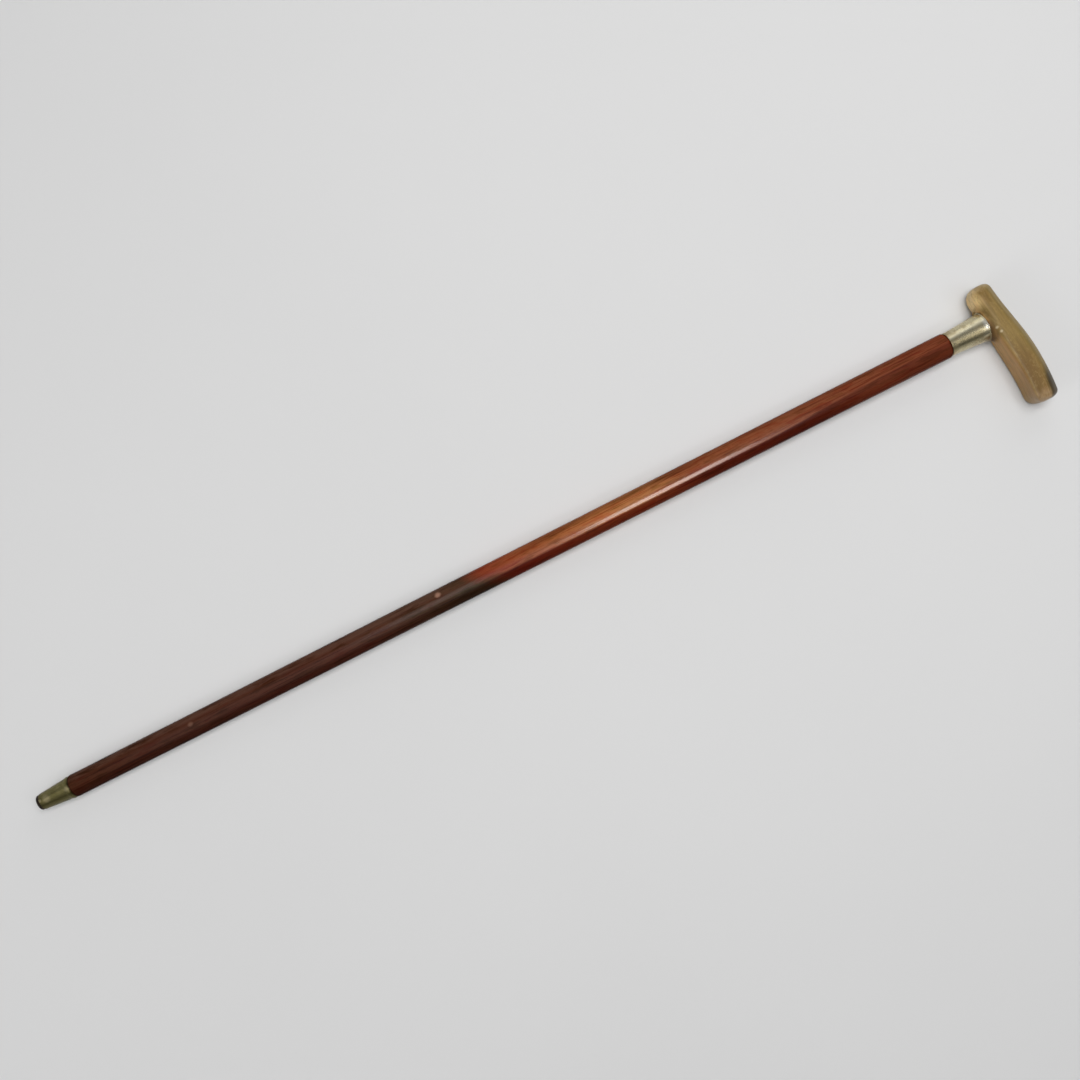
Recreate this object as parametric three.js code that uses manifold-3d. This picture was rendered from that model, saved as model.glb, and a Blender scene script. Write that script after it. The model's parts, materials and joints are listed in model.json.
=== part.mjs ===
// Horn-handled walking stick, lying on its side as it would on a table.
// Units are millimetres and +Z is up. +X runs from the foot to the handle, and -Y is the side of the
// handle's long arm. The stick is built straight along +X from the middle of the foot's end face, then
// leaned by the small angle at which it rests, and centred over the origin.
import * as THREE from "three";
import { mergeVertices } from "three/addons/utils/BufferGeometryUtils.js";
import Module from "manifold-3d";

// Fits
const SEAT_GAP = 0.3; // cement gap left wherever one piece seats on another

// Iron tip: a plug with a worn disc that closes the ferrule
const TIP_RADIUS = 6.4;
const TIP_DISC = 2.3;
const TIP_EDGE_ROUND = 0.7;
const TIP_SPIGOT = 6;

// Brass ferrule: a tapered sleeve with a bead at its upper rim
const FERRULE_LENGTH = 28.2;
const FERRULE_LOWER_RADIUS = 6.8;
const FERRULE_UPPER_RADIUS = 9.2;
const FERRULE_WALL = 0.9;
const BEAD_WIDTH = 5;
const BEAD_RISE = 0.35;

// Wooden shaft: a tapered round rod with a tenon at each end
const SHAFT_LENGTH = 801.5; // the wood that shows, from ferrule to collar
const SHAFT_LOWER_RADIUS = 9.6;
const SHAFT_UPPER_RADIUS = 10.8;
const LOWER_EDGE_ROUND = 1.2;
const UPPER_SHOULDER_ROUND = 2.6;
const UPPER_TENON = 21; // how far the wood goes up into the collar

// Collar: a thin plated sleeve, flared towards the handle
const COLLAR_LENGTH = 32.7;
const COLLAR_LOWER_RADIUS = 10;
const COLLAR_RIM_RADIUS = 12.9;
const COLLAR_WALL = 0.9;
const COLLAR_FLARE_POWER = 1.4; // 1 is a straight cone, and more keeps the flare nearer to the rim
const COLLAR_LIP = 0.55; // radius of the rolled lip
const LIP_FROM = 150; // degrees round the lip, from the trumpet's outside
const LIP_TO = -50; // to the start of its inside

// Horn handle: an arched bar with a neck that fills the collar's mouth
const SHORT_ARM = 31.6; // from the shaft's axis to each end
const LONG_ARM = 76.8;
const MIDLINE_RISE = 18.2; // from the collar's rim to the handle's middle line at its crest
const CREST_AT = 54; // the crest's distance from the shaft's axis, along the long arm
const ARCH_FALL = 12.9; // how far the middle line falls over half a wave
const ARCH_HALF_WAVE = 115;
const SHORT_END_LEAN = 7; // degrees by which each end is cut out of square
const LONG_END_LEAN = 4;
const GRIP_BLEND_START = -20; // the grip thickens between these two distances down the long arm
const GRIP_BLEND_END = 34;
const LONG_BLEND_START = 20; // and goes over to the squarer long end between these two
const LONG_BLEND_END = 80;
const CROWN_ROUND = 7; // length over which the ends round off, on the crown's side
const SHORT_UNDER_ROUND = 18; // and on the underside, where the short end is worn rounder
const LONG_UNDER_ROUND = 12;
const END_SQUARENESS = 2.6; // 2 rounds the ends like an ellipse, and more leaves them flatter
const NECK_DEPTH = 6.5; // how far the neck's plug reaches down into the collar
const NECK_RADIUS = 12.2; // the neck's foot, which stands on the collar's rim
const NECK_FLARE_RISE = 4.5; // the hollow flare between neck and arms: how high it climbs,
const NECK_FLARE_SPREAD = 7; // how far it spreads along the arms
const NECK_SIDE_SPREAD = 0.7; // and how far at the handle's flat sides
const NECK_ROOT = 9; // how far above the rim the neck still goes on, inside the bar
const FACET_SHARPNESS = 14; // larger makes the section's soft ridges crisper

// Distances of the section's eight flats from its middle. The two sides are parallel, and the others
// differ between the short arm, the full grip and the long end.
const HALF_THICKNESS = 13.1;
const SHORT_SECTION = { crown: 10.2, shoulder: 11.8, slope: 12.4, under: 9.7 };
const GRIP_SECTION = { crown: 12.3, shoulder: 13.3, slope: 15.8, under: 10.6 };
const LONG_SECTION = { crown: 12.1, shoulder: 13.2, slope: 16.8, under: 9.2 };
const SHOULDER_TURN = 45; // degrees from the crown to each of the other flats
const SLOPE_TURN = 142;

// Steel stud that joins handle and shaft
const STUD_RADIUS = 3.5;
const STUD_IN_SHAFT = 42; // measured from the top of the wood that shows
const STUD_IN_HANDLE = 16; // measured from the collar's rim
const STUD_CHAMFER = 0.8;
const BORE_END_ROOM = 1; // free depth past each end of the stud

// Facets
const AROUND = 40;
const ARC_STEPS = 4;
const COLLAR_STEPS = 7;
const ARM_STEPS = 26;
const END_STEPS = 6;
const WELD = 1e-4; // vertices nearer to each other than this are one

// Where each piece starts along the shaft's axis
const ferruleStart = TIP_DISC + SEAT_GAP;
const ferruleEnd = ferruleStart + FERRULE_LENGTH;
const woodStart = ferruleEnd + SEAT_GAP;
const woodEnd = woodStart + SHAFT_LENGTH;
const collarStart = woodEnd + SEAT_GAP;
const collarEnd = collarStart + COLLAR_LENGTH;

const wasm = await Module();
wasm.setup();

const clamp01 = (t) => Math.min(1, Math.max(0, t));
const mix = (a, b, t) => a + (b - a) * t;
const smoothStep = (t) => t * t * (3 - 2 * t);
const radians = THREE.MathUtils.degToRad;

// Points on an arc about (along, radius), between two angles in degrees. 0 points up the axis and 90
// points away from it.
function arc(along, radius, size, from, to, steps = ARC_STEPS) {
  return Array.from({ length: steps + 1 }, (_, i) => {
    const angle = radians(mix(from, to, i / steps));
    return [along + size * Math.cos(angle), radius + size * Math.sin(angle)];
  });
}

// A solid turned about the shaft's axis. The outline is a list of [along, radius] points, up the outside
// and then, on a hollow piece, back down the inside.
function turned(outline, hollow = false) {
  const points = outline.map(([along, radius]) => new THREE.Vector2(radius, along));
  if (hollow) points.push(points[0].clone());
  return new THREE.LatheGeometry(points, AROUND).rotateZ(-Math.PI / 2);
}

function manifoldOf(geometry) {
  const bare = geometry.clone();
  for (const name of Object.keys(bare.attributes)) {
    if (name !== "position") bare.deleteAttribute(name);
  }
  const merged = mergeVertices(bare, WELD);
  return new wasm.Manifold(
    new wasm.Mesh({
      numProp: 3,
      vertProperties: merged.attributes.position.array,
      triVerts: new Uint32Array(merged.index.array),
    }),
  );
}

function geometryOf(manifold) {
  const mesh = manifold.getMesh();
  const geometry = new THREE.BufferGeometry();
  geometry.setAttribute("position", new THREE.BufferAttribute(mesh.vertProperties, 3));
  geometry.setIndex(new THREE.BufferAttribute(mesh.triVerts, 1));
  geometry.computeVertexNormals();
  return geometry;
}

// Ferrule: radii of its outside and inside at a distance along the shaft's axis
const ferruleOuter = (along) =>
  mix(FERRULE_LOWER_RADIUS, FERRULE_UPPER_RADIUS, (along - ferruleStart) / FERRULE_LENGTH);
const ferruleInner = (along) => ferruleOuter(along) - FERRULE_WALL;

// Collar: radii of its outside and inside
function collarOuter(along) {
  const t = clamp01((along - collarStart) / COLLAR_LENGTH);
  return mix(COLLAR_LOWER_RADIUS, COLLAR_RIM_RADIUS - COLLAR_LIP, t ** COLLAR_FLARE_POWER);
}
const collarInner = (along) => collarOuter(along) - COLLAR_WALL;

function tipGeometry() {
  const spigotEnd = ferruleStart + TIP_SPIGOT;
  return turned([
    [0, 0],
    ...arc(TIP_EDGE_ROUND, TIP_RADIUS - TIP_EDGE_ROUND, TIP_EDGE_ROUND, 180, 90),
    [TIP_DISC, TIP_RADIUS],
    [TIP_DISC, ferruleInner(ferruleStart) - SEAT_GAP],
    [spigotEnd, ferruleInner(spigotEnd) - SEAT_GAP],
    [spigotEnd, 0],
  ]);
}

// The bead at the rim is a low round swelling: a cosine hump over the last stretch of the sleeve.
function ferruleGeometry() {
  const beadStart = ferruleEnd - BEAD_WIDTH;
  const steps = 2 * ARC_STEPS;
  const bead = Array.from({ length: steps + 1 }, (_, i) => {
    const along = beadStart + (BEAD_WIDTH * i) / steps;
    const hump = 0.5 - 0.5 * Math.cos((2 * Math.PI * i) / steps);
    return [along, ferruleOuter(along) + BEAD_RISE * hump];
  });
  const outline = [[ferruleStart, ferruleOuter(ferruleStart)], ...bead];
  outline.push([ferruleEnd, ferruleInner(ferruleEnd)]);
  outline.push([ferruleStart, ferruleInner(ferruleStart)]);
  return turned(outline, true);
}

function shaftGeometry() {
  const lowerTenonStart = ferruleStart + TIP_SPIGOT + SEAT_GAP;
  const upperTenonEnd = collarStart + UPPER_TENON;
  const boreStart = woodEnd - STUD_IN_SHAFT - BORE_END_ROOM;
  const boreRadius = STUD_RADIUS + SEAT_GAP;
  const upperTenonRadius = collarInner(collarStart) - SEAT_GAP;
  const shoulderCentre = SHAFT_UPPER_RADIUS - UPPER_SHOULDER_ROUND;
  const shoulderFoot = clamp01((upperTenonRadius - shoulderCentre) / UPPER_SHOULDER_ROUND);
  return turned([
    [lowerTenonStart, 0],
    [lowerTenonStart, ferruleInner(lowerTenonStart) - SEAT_GAP],
    [woodStart, ferruleInner(ferruleEnd) - SEAT_GAP],
    ...arc(
      woodStart + LOWER_EDGE_ROUND,
      SHAFT_LOWER_RADIUS - LOWER_EDGE_ROUND,
      LOWER_EDGE_ROUND,
      180,
      90,
    ),
    ...arc(
      woodEnd - UPPER_SHOULDER_ROUND,
      shoulderCentre,
      UPPER_SHOULDER_ROUND,
      90,
      THREE.MathUtils.radToDeg(Math.asin(shoulderFoot)),
    ),
    [woodEnd, upperTenonRadius],
    [upperTenonEnd, upperTenonRadius],
    [upperTenonEnd, boreRadius],
    [boreStart, boreRadius],
    [boreStart, 0],
  ]);
}

// A trumpet outside, the same curve a wall thickness in, and a rolled lip round the rim.
function collarGeometry() {
  const lipAlong = collarEnd - COLLAR_LIP;
  const outside = Array.from({ length: COLLAR_STEPS + 1 }, (_, i) => {
    const along = mix(collarStart, collarEnd - 2 * COLLAR_LIP, i / COLLAR_STEPS);
    return [along, collarOuter(along)];
  });
  const lip = arc(lipAlong, COLLAR_RIM_RADIUS - COLLAR_LIP, COLLAR_LIP, LIP_FROM, LIP_TO, 2 * ARC_STEPS);
  const inside = Array.from({ length: COLLAR_STEPS + 1 }, (_, i) => {
    const along = mix(lipAlong, collarStart, i / COLLAR_STEPS);
    return [along, collarInner(along)];
  });
  return turned([...outside, ...lip, ...inside], true);
}

// The handle's middle line is one raised cosine: highest at the crest, lower towards the short arm.
function midline(across) {
  const fall = 0.5 - 0.5 * Math.cos((Math.PI * (across + CREST_AT)) / ARCH_HALF_WAVE);
  return collarEnd + MIDLINE_RISE - ARCH_FALL * fall;
}

// How far the section has changed at a distance across, from 0 to 1 between two distances down the
// long arm.
const blendShare = (across, start, end) => smoothStep(clamp01((-across - start) / (end - start)));

// A point of the handle's section, in the direction that an angle gives, scaled about the section's
// middle. The radius is a soft least distance to eight flats, so that the ridges are round.
function sectionPoint(across, angle, scale) {
  const gripShare = blendShare(across, GRIP_BLEND_START, GRIP_BLEND_END);
  const longShare = blendShare(across, LONG_BLEND_START, LONG_BLEND_END);
  const flat = (name) =>
    mix(mix(SHORT_SECTION[name], GRIP_SECTION[name], gripShare), LONG_SECTION[name], longShare);
  const flats = [
    [0, flat("crown")],
    [SHOULDER_TURN, flat("shoulder")],
    [-SHOULDER_TURN, flat("shoulder")],
    [90, HALF_THICKNESS],
    [-90, HALF_THICKNESS],
    [SLOPE_TURN, flat("slope")],
    [-SLOPE_TURN, flat("slope")],
    [180, flat("under")],
  ];
  const near = flats.map(
    ([turn, distance]) => Math.max(0, Math.cos(angle - radians(turn)) / distance) ** FACET_SHARPNESS,
  );
  const radius = scale * near.reduce((sum, value) => sum + value, 0) ** (-1 / FACET_SHARPNESS);
  return [radius * Math.cos(angle), radius * Math.sin(angle)];
}

// The length over which an end rounds off, in the direction that an angle gives.
const endRound = (angle, underRound) =>
  mix(CROWN_ROUND, underRound, (0.5 - 0.5 * Math.cos(angle)) ** 2);

// Rings along the arms, from the long end to the short one. Each is a function from the angle round the
// section to [across, scale]. Each end rounds off as a quarter of a superellipse.
function armRings() {
  const power = 2 / END_SQUARENESS;
  const longEnd = (angle, share) => -LONG_ARM + share * endRound(angle, LONG_UNDER_ROUND);
  const shortEnd = (angle, share) => SHORT_ARM - share * endRound(angle, SHORT_UNDER_ROUND);
  const ending = (end) =>
    Array.from({ length: END_STEPS }, (_, i) => {
      const turn = ((Math.PI / 2) * (i + 1)) / END_STEPS;
      const share = 1 - Math.cos(turn) ** power;
      return (angle) => [end(angle, share), Math.sin(turn) ** power];
    });
  const body = Array.from({ length: ARM_STEPS - 1 }, (_, i) => (angle) => [
    mix(longEnd(angle, 1), shortEnd(angle, 1), (i + 1) / ARM_STEPS),
    1,
  ]);
  return [...ending(longEnd), ...body, ...ending(shortEnd).reverse()];
}

// The arched bar: the section carried along the arms, with its cutting plane leaned steadily from one
// end's cut to the other's.
function armsGeometry() {
  const positions = [];
  const index = [];
  const place = (across, p, z) => {
    const share = (across + LONG_ARM) / (LONG_ARM + SHORT_ARM);
    const lean = radians(mix(-LONG_END_LEAN, SHORT_END_LEAN, share));
    positions.push(midline(across) + p * Math.cos(lean), across + p * Math.sin(lean), z);
  };
  const rings = armRings();
  for (const ring of rings) {
    for (let i = 0; i < AROUND; i += 1) {
      const angle = (2 * Math.PI * i) / AROUND;
      const [across, scale] = ring(angle);
      place(across, ...sectionPoint(across, angle, scale));
    }
  }
  const firstPole = rings.length * AROUND;
  place(-LONG_ARM, 0, 0);
  place(SHORT_ARM, 0, 0);
  for (let s = 0; s + 1 < rings.length; s += 1) {
    for (let i = 0; i < AROUND; i += 1) {
      const a = s * AROUND + i;
      const b = s * AROUND + ((i + 1) % AROUND);
      index.push(a, a + AROUND, b, b, a + AROUND, b + AROUND);
    }
  }
  const lastRing = (rings.length - 1) * AROUND;
  for (let i = 0; i < AROUND; i += 1) {
    const next = (i + 1) % AROUND;
    index.push(firstPole, i, next);
    index.push(firstPole + 1, lastRing + next, lastRing + i);
  }
  const geometry = new THREE.BufferGeometry();
  geometry.setAttribute("position", new THREE.Float32BufferAttribute(positions, 3));
  geometry.setIndex(index);
  return geometry;
}

// The neck: its plug follows the inside of the trumpet, its foot stands on the rim, and from there it
// flares out in a hollow curve and runs on into the bar. The flare is an oval, wide along the arms and
// narrow at the flat sides.
function neckGeometry() {
  const neckStart = collarEnd - NECK_DEPTH;
  const fitted = Array.from({ length: ARC_STEPS + 1 }, (_, i) => {
    const along = mix(neckStart, collarEnd, i / ARC_STEPS);
    return [along, collarInner(along) - SEAT_GAP];
  });
  const flare = Array.from({ length: ARC_STEPS + 1 }, (_, i) => {
    const angle = ((Math.PI / 2) * i) / ARC_STEPS;
    const along = collarEnd + SEAT_GAP + NECK_FLARE_RISE * Math.sin(angle);
    return [along, NECK_RADIUS + NECK_FLARE_SPREAD * (1 - Math.cos(angle))];
  });
  const footInner = [collarEnd + SEAT_GAP, collarInner(collarEnd) - SEAT_GAP];
  const rootEnd = collarEnd + NECK_ROOT;
  const widest = NECK_RADIUS + NECK_FLARE_SPREAD;
  const neck = turned([
    [neckStart, 0],
    ...fitted,
    footInner,
    ...flare,
    [rootEnd, widest],
    [rootEnd, 0],
  ]);
  const position = neck.attributes.position;
  for (let i = 0; i < position.count; i += 1) {
    const radius = Math.hypot(position.getY(i), position.getZ(i));
    const spread = Math.max(0, radius - NECK_RADIUS);
    const narrowed = radius - spread * (1 - NECK_SIDE_SPREAD / NECK_FLARE_SPREAD);
    if (spread > 0) position.setZ(i, (position.getZ(i) * narrowed) / radius);
  }
  return neck;
}

// A plain round bar about the shaft's axis, for cutting with.
const cutter = (start, end, radius) =>
  turned([
    [start, 0],
    [start, radius],
    [end, radius],
    [end, 0],
  ]);

// The short arm hangs lower than the collar's rim, so a round seat is cut in its underside for the rim.
function handleGeometry() {
  const boreEnd = collarEnd + STUD_IN_HANDLE + BORE_END_ROOM;
  const seat = cutter(collarStart, collarEnd + SEAT_GAP, COLLAR_RIM_RADIUS + SEAT_GAP);
  const bore = cutter(collarStart, boreEnd, STUD_RADIUS + SEAT_GAP);
  const arms = manifoldOf(armsGeometry()).subtract(manifoldOf(seat));
  return geometryOf(arms.add(manifoldOf(neckGeometry())).subtract(manifoldOf(bore)));
}

function studGeometry() {
  const start = woodEnd - STUD_IN_SHAFT;
  const end = collarEnd + STUD_IN_HANDLE;
  return turned([
    [start, 0],
    [start, STUD_RADIUS - STUD_CHAMFER],
    [start + STUD_CHAMFER, STUD_RADIUS],
    [end - STUD_CHAMFER, STUD_RADIUS],
    [end, STUD_RADIUS - STUD_CHAMFER],
    [end, 0],
  ]);
}

function piece(name, geometry, color, roughness, metalness) {
  const material = new THREE.MeshStandardMaterial({ color, roughness, metalness });
  const mesh = new THREE.Mesh(geometry, material);
  mesh.name = name;
  return mesh;
}

const stick = new THREE.Group();
stick.add(
  piece("ferrule_tip", tipGeometry(), 0x2e2a26, 0.6, 0.9),
  piece("ferrule", ferruleGeometry(), 0x7d744a, 0.38, 1),
  piece("shaft", shaftGeometry(), 0x7a3f26, 0.28, 0),
  piece("collar", collarGeometry(), 0xb9b19a, 0.27, 1),
  piece("horn_handle", handleGeometry(), 0x93764a, 0.32, 0),
  piece("handle_stud", studGeometry(), 0x8c8c8a, 0.4, 1),
);

// The angle at which the stick rests on a flat surface. Seen from the side, the surface lies along the
// edge of the stick's lower hull that passes under the middle of its length.
function restingLean(group) {
  const points = [];
  const vertex = new THREE.Vector3();
  group.traverse((object) => {
    if (!object.isMesh) return;
    const position = object.geometry.attributes.position;
    for (let i = 0; i < position.count; i += 1) {
      vertex.fromBufferAttribute(position, i);
      points.push([vertex.x, vertex.z]);
    }
  });
  points.sort((a, b) => a[0] - b[0] || a[1] - b[1]);
  const turnsUp = ([x0, z0], [x1, z1], [x2, z2]) => (x1 - x0) * (z2 - z0) > (z1 - z0) * (x2 - x0);
  const hull = [];
  for (const point of points) {
    while (hull.length > 1 && !turnsUp(hull.at(-2), hull.at(-1), point)) hull.pop();
    hull.push(point);
  }
  const middle = (points[0][0] + points.at(-1)[0]) / 2;
  const head = hull.findIndex(([x]) => x >= middle);
  const [[x0, z0], [x1, z1]] = [hull[head - 1], hull[head]];
  return Math.atan((z1 - z0) / (x1 - x0));
}

const leaned = new THREE.Group();
stick.rotation.y = restingLean(stick);
leaned.add(stick);
leaned.updateMatrixWorld(true);
const box = new THREE.Box3().setFromObject(leaned, true);
leaned.position.set(-(box.min.x + box.max.x) / 2, -(box.min.y + box.max.y) / 2, -box.min.z);

export default leaned;
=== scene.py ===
import json
import math

import bpy
import numpy as np
from mathutils import Matrix, Vector


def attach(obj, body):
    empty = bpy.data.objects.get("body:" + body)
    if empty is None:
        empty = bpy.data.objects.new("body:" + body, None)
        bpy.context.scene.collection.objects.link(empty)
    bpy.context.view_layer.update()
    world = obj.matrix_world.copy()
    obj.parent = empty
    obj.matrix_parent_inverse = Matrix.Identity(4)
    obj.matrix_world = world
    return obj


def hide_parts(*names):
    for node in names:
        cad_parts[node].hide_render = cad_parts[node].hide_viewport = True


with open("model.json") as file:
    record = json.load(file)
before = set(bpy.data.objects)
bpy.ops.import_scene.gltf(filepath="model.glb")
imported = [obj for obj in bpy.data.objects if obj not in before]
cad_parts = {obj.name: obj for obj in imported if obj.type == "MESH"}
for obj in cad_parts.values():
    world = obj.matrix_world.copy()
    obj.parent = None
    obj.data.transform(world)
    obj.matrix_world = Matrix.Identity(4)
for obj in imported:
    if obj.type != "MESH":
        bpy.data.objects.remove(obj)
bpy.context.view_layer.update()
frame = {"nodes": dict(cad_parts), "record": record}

# The looks of a horn-handled walking stick that lies on a pale floor.
# Shapes are worked out in the stick's own coordinates, in millimetres: u runs up the shaft's axis from
# the middle of the foot's end face, v runs across it along the handle, with the short arm at +v and the
# long grip at -v, and w points away from the floor. placed() takes them to the frame, in metres. An
# angle round the shaft is 0 where the surface faces away from the floor, and grows towards +v.

# Millimetres in a metre
METRE = 1000.0

# Where the stick lies: the middle of the foot's end face, and the direction of the shaft
foot_mount = next(mount for mount in frame["record"]["mounts"] if mount["name"] == "foot")
FOOT = np.array(foot_mount["pos_m"])
ALONG = -np.array(foot_mount["axis"])
ACROSS = np.array([0.0, 1.0, 0.0])
UPWARD = np.cross(ALONG, ACROSS)

# Places along the shaft's axis
FERRULE_START = 2.6
FERRULE_END = 30.8
WOOD_START = 31.1
TAPER_START = 33.1
TAPER_END = 829.8
WOOD_END = 832.6
COLLAR_START = 832.9
COLLAR_END = 865.6

# Fits: the gap between pieces, and how far a second point follows a square corner to keep it crisp
SEAT_GAP = 0.3
CORNER_STEP = 0.05
FINE_CORNER_STEP = 0.01

# Iron tip
TIP_RADIUS = 6.4
TIP_FLAT_RADIUS = 5.4
TIP_HOLLOW = 0.06
TIP_EDGE = 0.85
TIP_DISC = 2.3
TIP_SPIGOT = 6.0
TIP_DENTS = {"radius": TIP_RADIUS, "seed": 5, "count": 26, "depth": 0.16, "width": 1.1}

# Brass ferrule. Its bead stops a little before the upper rim's roll, which sits slightly sunk.
FERRULE_LOWER_RADIUS = 6.8
FERRULE_UPPER_RADIUS = 9.2
FERRULE_WALL = 0.9
FERRULE_LOWER_ROLL = 0.3
FERRULE_UPPER_ROLL = 0.2
FERRULE_ROLL_SUNK = 0.02
BEAD_WIDTH = 5.0
BEAD_RISE = 0.35
BEAD_STOP = 0.25
FERRULE_DENTS = {"radius": 8.0, "seed": 11, "count": 34, "depth": 0.09, "width": 1.6}

# Wooden shaft
SHAFT_LOWER_RADIUS = 9.6
SHAFT_UPPER_RADIUS = 10.8
LOWER_SHOULDER = 1.2
UPPER_SHOULDER = 2.6
UPPER_TENON = 21.0
STUD_BORE_RADIUS = 3.8
STUD_IN_SHAFT = 42.0
STUD_BORE_SPARE = 1.0

# The shaft's planing: its depth, the distances over which its swells turn and beat by a radian, the one
# over which its ripples turn, and the ripples' share of the swells' height
PLANED_DEPTH = 0.035
SWELL_TWIST = 71.0
SWELL_BEAT = 37.0
RIPPLE_TWIST = 53.0
RIPPLE_SHARE = 0.6

# Plated collar
COLLAR_LOWER_RADIUS = 10.0
COLLAR_RIM_RADIUS = 12.9
COLLAR_WALL = 0.9
COLLAR_LIP = 0.55
COLLAR_LOWER_ROLL = 0.25
FLARE_POWER = 1.4
COLLAR_DENTS = {"radius": 11.3, "seed": 23, "count": 30, "depth": 0.035, "width": 2.6}

# Horn handle: its arms and arch, and its neck with the fillet round it
SHORT_ARM = 31.6
LONG_ARM = 76.8
MIDLINE_RISE = 18.2
CREST_AT = 54.0
ARCH_FALL = 12.9
ARCH_HALF_WAVE = 115.0
NECK_RADIUS = 12.2
NECK_DEPTH = 6.5
NECK_ROOT = 9.0
PLUG_OVERLAP = 2.0
FILLET_LEAST = 0.3
FILLET_EXTRA = 7.0
FILLET_HALF_WIDTH = 11.5

# The handle's ends: how far they round off, how much further on the worn underside, how square that
# curve is, and how far the section leans there, in degrees
END_ROUND = 7.0
LONG_END_WEAR = 5.0
SHORT_END_WEAR = 11.0
END_SQUARENESS = 2.6
LONG_END_LEAN = -4.0
SHORT_END_LEAN = 7.0

# The handle's section. Flats face these angles, in degrees from the outer side, and stand this far from
# the middle line at the short arm, along the grip and at the long end. The section thickens, and later
# grows squarer, over these distances down the long arm.
HALF_THICKNESS = 13.1
FLATS = {
    (0,): (10.2, 12.3, 12.1),
    (45, -45): (11.8, 13.3, 13.2),
    (90, -90): (HALF_THICKNESS, HALF_THICKNESS, HALF_THICKNESS),
    (142, -142): (12.4, 15.8, 16.8),
    (180,): (9.7, 10.6, 9.2),
}
SECTION_POWER = 14
THICKENS = (-20.0, 34.0)
SQUARES = (20.0, 80.0)

# Rows of points along each surface
FERRULE_ROWS = 60
BEAD_ROWS = 28
SHAFT_ROWS = 460
COLLAR_ROWS = 70
COLLAR_INNER_ROWS = 20
PLUG_ROWS = 12

# The handle's mesh: rows in each end and between the ends, and how they crowd at the neck's wall
HANDLE_COLUMNS = 256
END_ROWS = 20
BODY_ROWS = 230
CROWD_AT = 12.6
CROWD_WIDTH = 2.4
CROWDING = 3.5
CROWD_SAMPLES = 401

# The search for the handle's surface: how far out it looks, how often it halves that, and how far from
# the shaft's axis the neck still matters
SEARCH_REACH = 34.0
SEARCH_HALVINGS = 34
NECK_REACH = 26.0


# Geometry


def placed(points):
    """Takes stick coordinates (u, v, w) in millimetres to the frame, in metres: the foot plus u along
    the shaft, v across it and w upward."""
    u, v, w = np.moveaxis(np.asarray(points, float), -1, 0)
    return FOOT + (u[..., None] * ALONG + v[..., None] * ACROSS + w[..., None] * UPWARD) / METRE


def linked(name, data):
    """An object that holds the data and stands in the scene."""
    made = bpy.data.objects.new(name, data)
    bpy.context.scene.collection.objects.link(made)
    return made


def meshed(name, points, faces, material):
    """An object with one mesh, made from its points and faces, in one material."""
    mesh = bpy.data.meshes.new(name)
    mesh.from_pydata(points, [], faces)
    mesh.materials.append(material)
    return linked(name, mesh)


def shell(grid, loop=False, poles=(None, None)):
    """Points and faces of one closed surface. The grid holds rows of points, and each row closes on
    itself. The last row joins the first where loop is true, and otherwise each end closes on its pole.
    The sum of the corner volumes under its triangles gives the sense in which the faces run."""
    rows, columns = grid.shape[:2]
    index = np.arange(rows * columns).reshape(rows, columns)
    here, there = (index, np.roll(index, -1, 0)) if loop else (index[:-1], index[1:])
    quads = np.stack([here, np.roll(here, -1, 1), np.roll(there, -1, 1), there], -1).reshape(-1, 4)
    points, fans = grid.reshape(-1, 3), []
    for row, pole, turn in ((index[0], poles[0], -1), (index[-1], poles[1], 1)):
        if pole is not None:
            fans.append(np.stack([np.full(columns, len(points)), np.roll(row, turn), row], -1))
            points = np.vstack([points, [pole]])
    triangles = np.vstack([quads[:, [0, 1, 2]], quads[:, [0, 2, 3]], *fans])
    a, b, c = (points[triangles[:, corner]] for corner in range(3))
    sense = 1 if np.sum(a * np.cross(b, c)) > 0 else -1
    return points, [face for part in (quads, *fans) for face in part[:, ::sense].tolist()]


def piece(name, shells, material, node, crease=38.0):
    """One finished object: the shells as one smooth mesh, with a hard edge wherever two faces meet at
    more than the crease's angle in degrees. It stands for the CAD node."""
    points, faces, start = [], [], 0
    for shell_points, shell_faces in shells:
        points.append(placed(shell_points))
        faces += [[corner + start for corner in face] for face in shell_faces]
        start += len(shell_points)
    made = meshed(name, np.vstack(points).tolist(), faces, material)
    made.data.polygons.foreach_set("use_smooth", np.ones(len(faces), bool))
    made.data.set_sharp_from_angle(angle=math.radians(crease))
    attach(made, "root")
    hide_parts(node)


def smooth(x, low, high):
    """0 below low, 1 above high and an S-shaped cubic between them."""
    t = np.clip((x - low) / (high - low), 0, 1)
    return t * t * (3 - 2 * t)


def between(x, start, full, fading, gone):
    """1 from full to fading, 0 outside start and gone, and an S-shaped cubic on each side."""
    return smooth(x, start, full) * (1 - smooth(x, fading, gone))


def full_turn(columns):
    """Evenly spaced angles over one turn."""
    return 2 * np.pi * np.arange(columns) / columns


def arc(u, radius, size, start, stop, steps):
    """Points (along, radius) on an arc about a point, from one angle to another in degrees. 0 points
    up the axis and 90 away from it."""
    angle = np.radians(np.linspace(start, stop, steps + 1))
    return np.stack([u + size * np.cos(angle), radius + size * np.sin(angle)], -1)


def line(start, stop, steps):
    """Evenly spaced points from one (along, radius) point to another, without the last one."""
    t = np.linspace(0, 1, steps, endpoint=False)[:, None]
    return np.asarray(start, float) * (1 - t) + np.asarray(stop, float) * t


def curve(u, radius_of):
    """Profile points where the radius is a function of the distance along."""
    return np.stack([u, radius_of(u)], -1)


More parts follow.
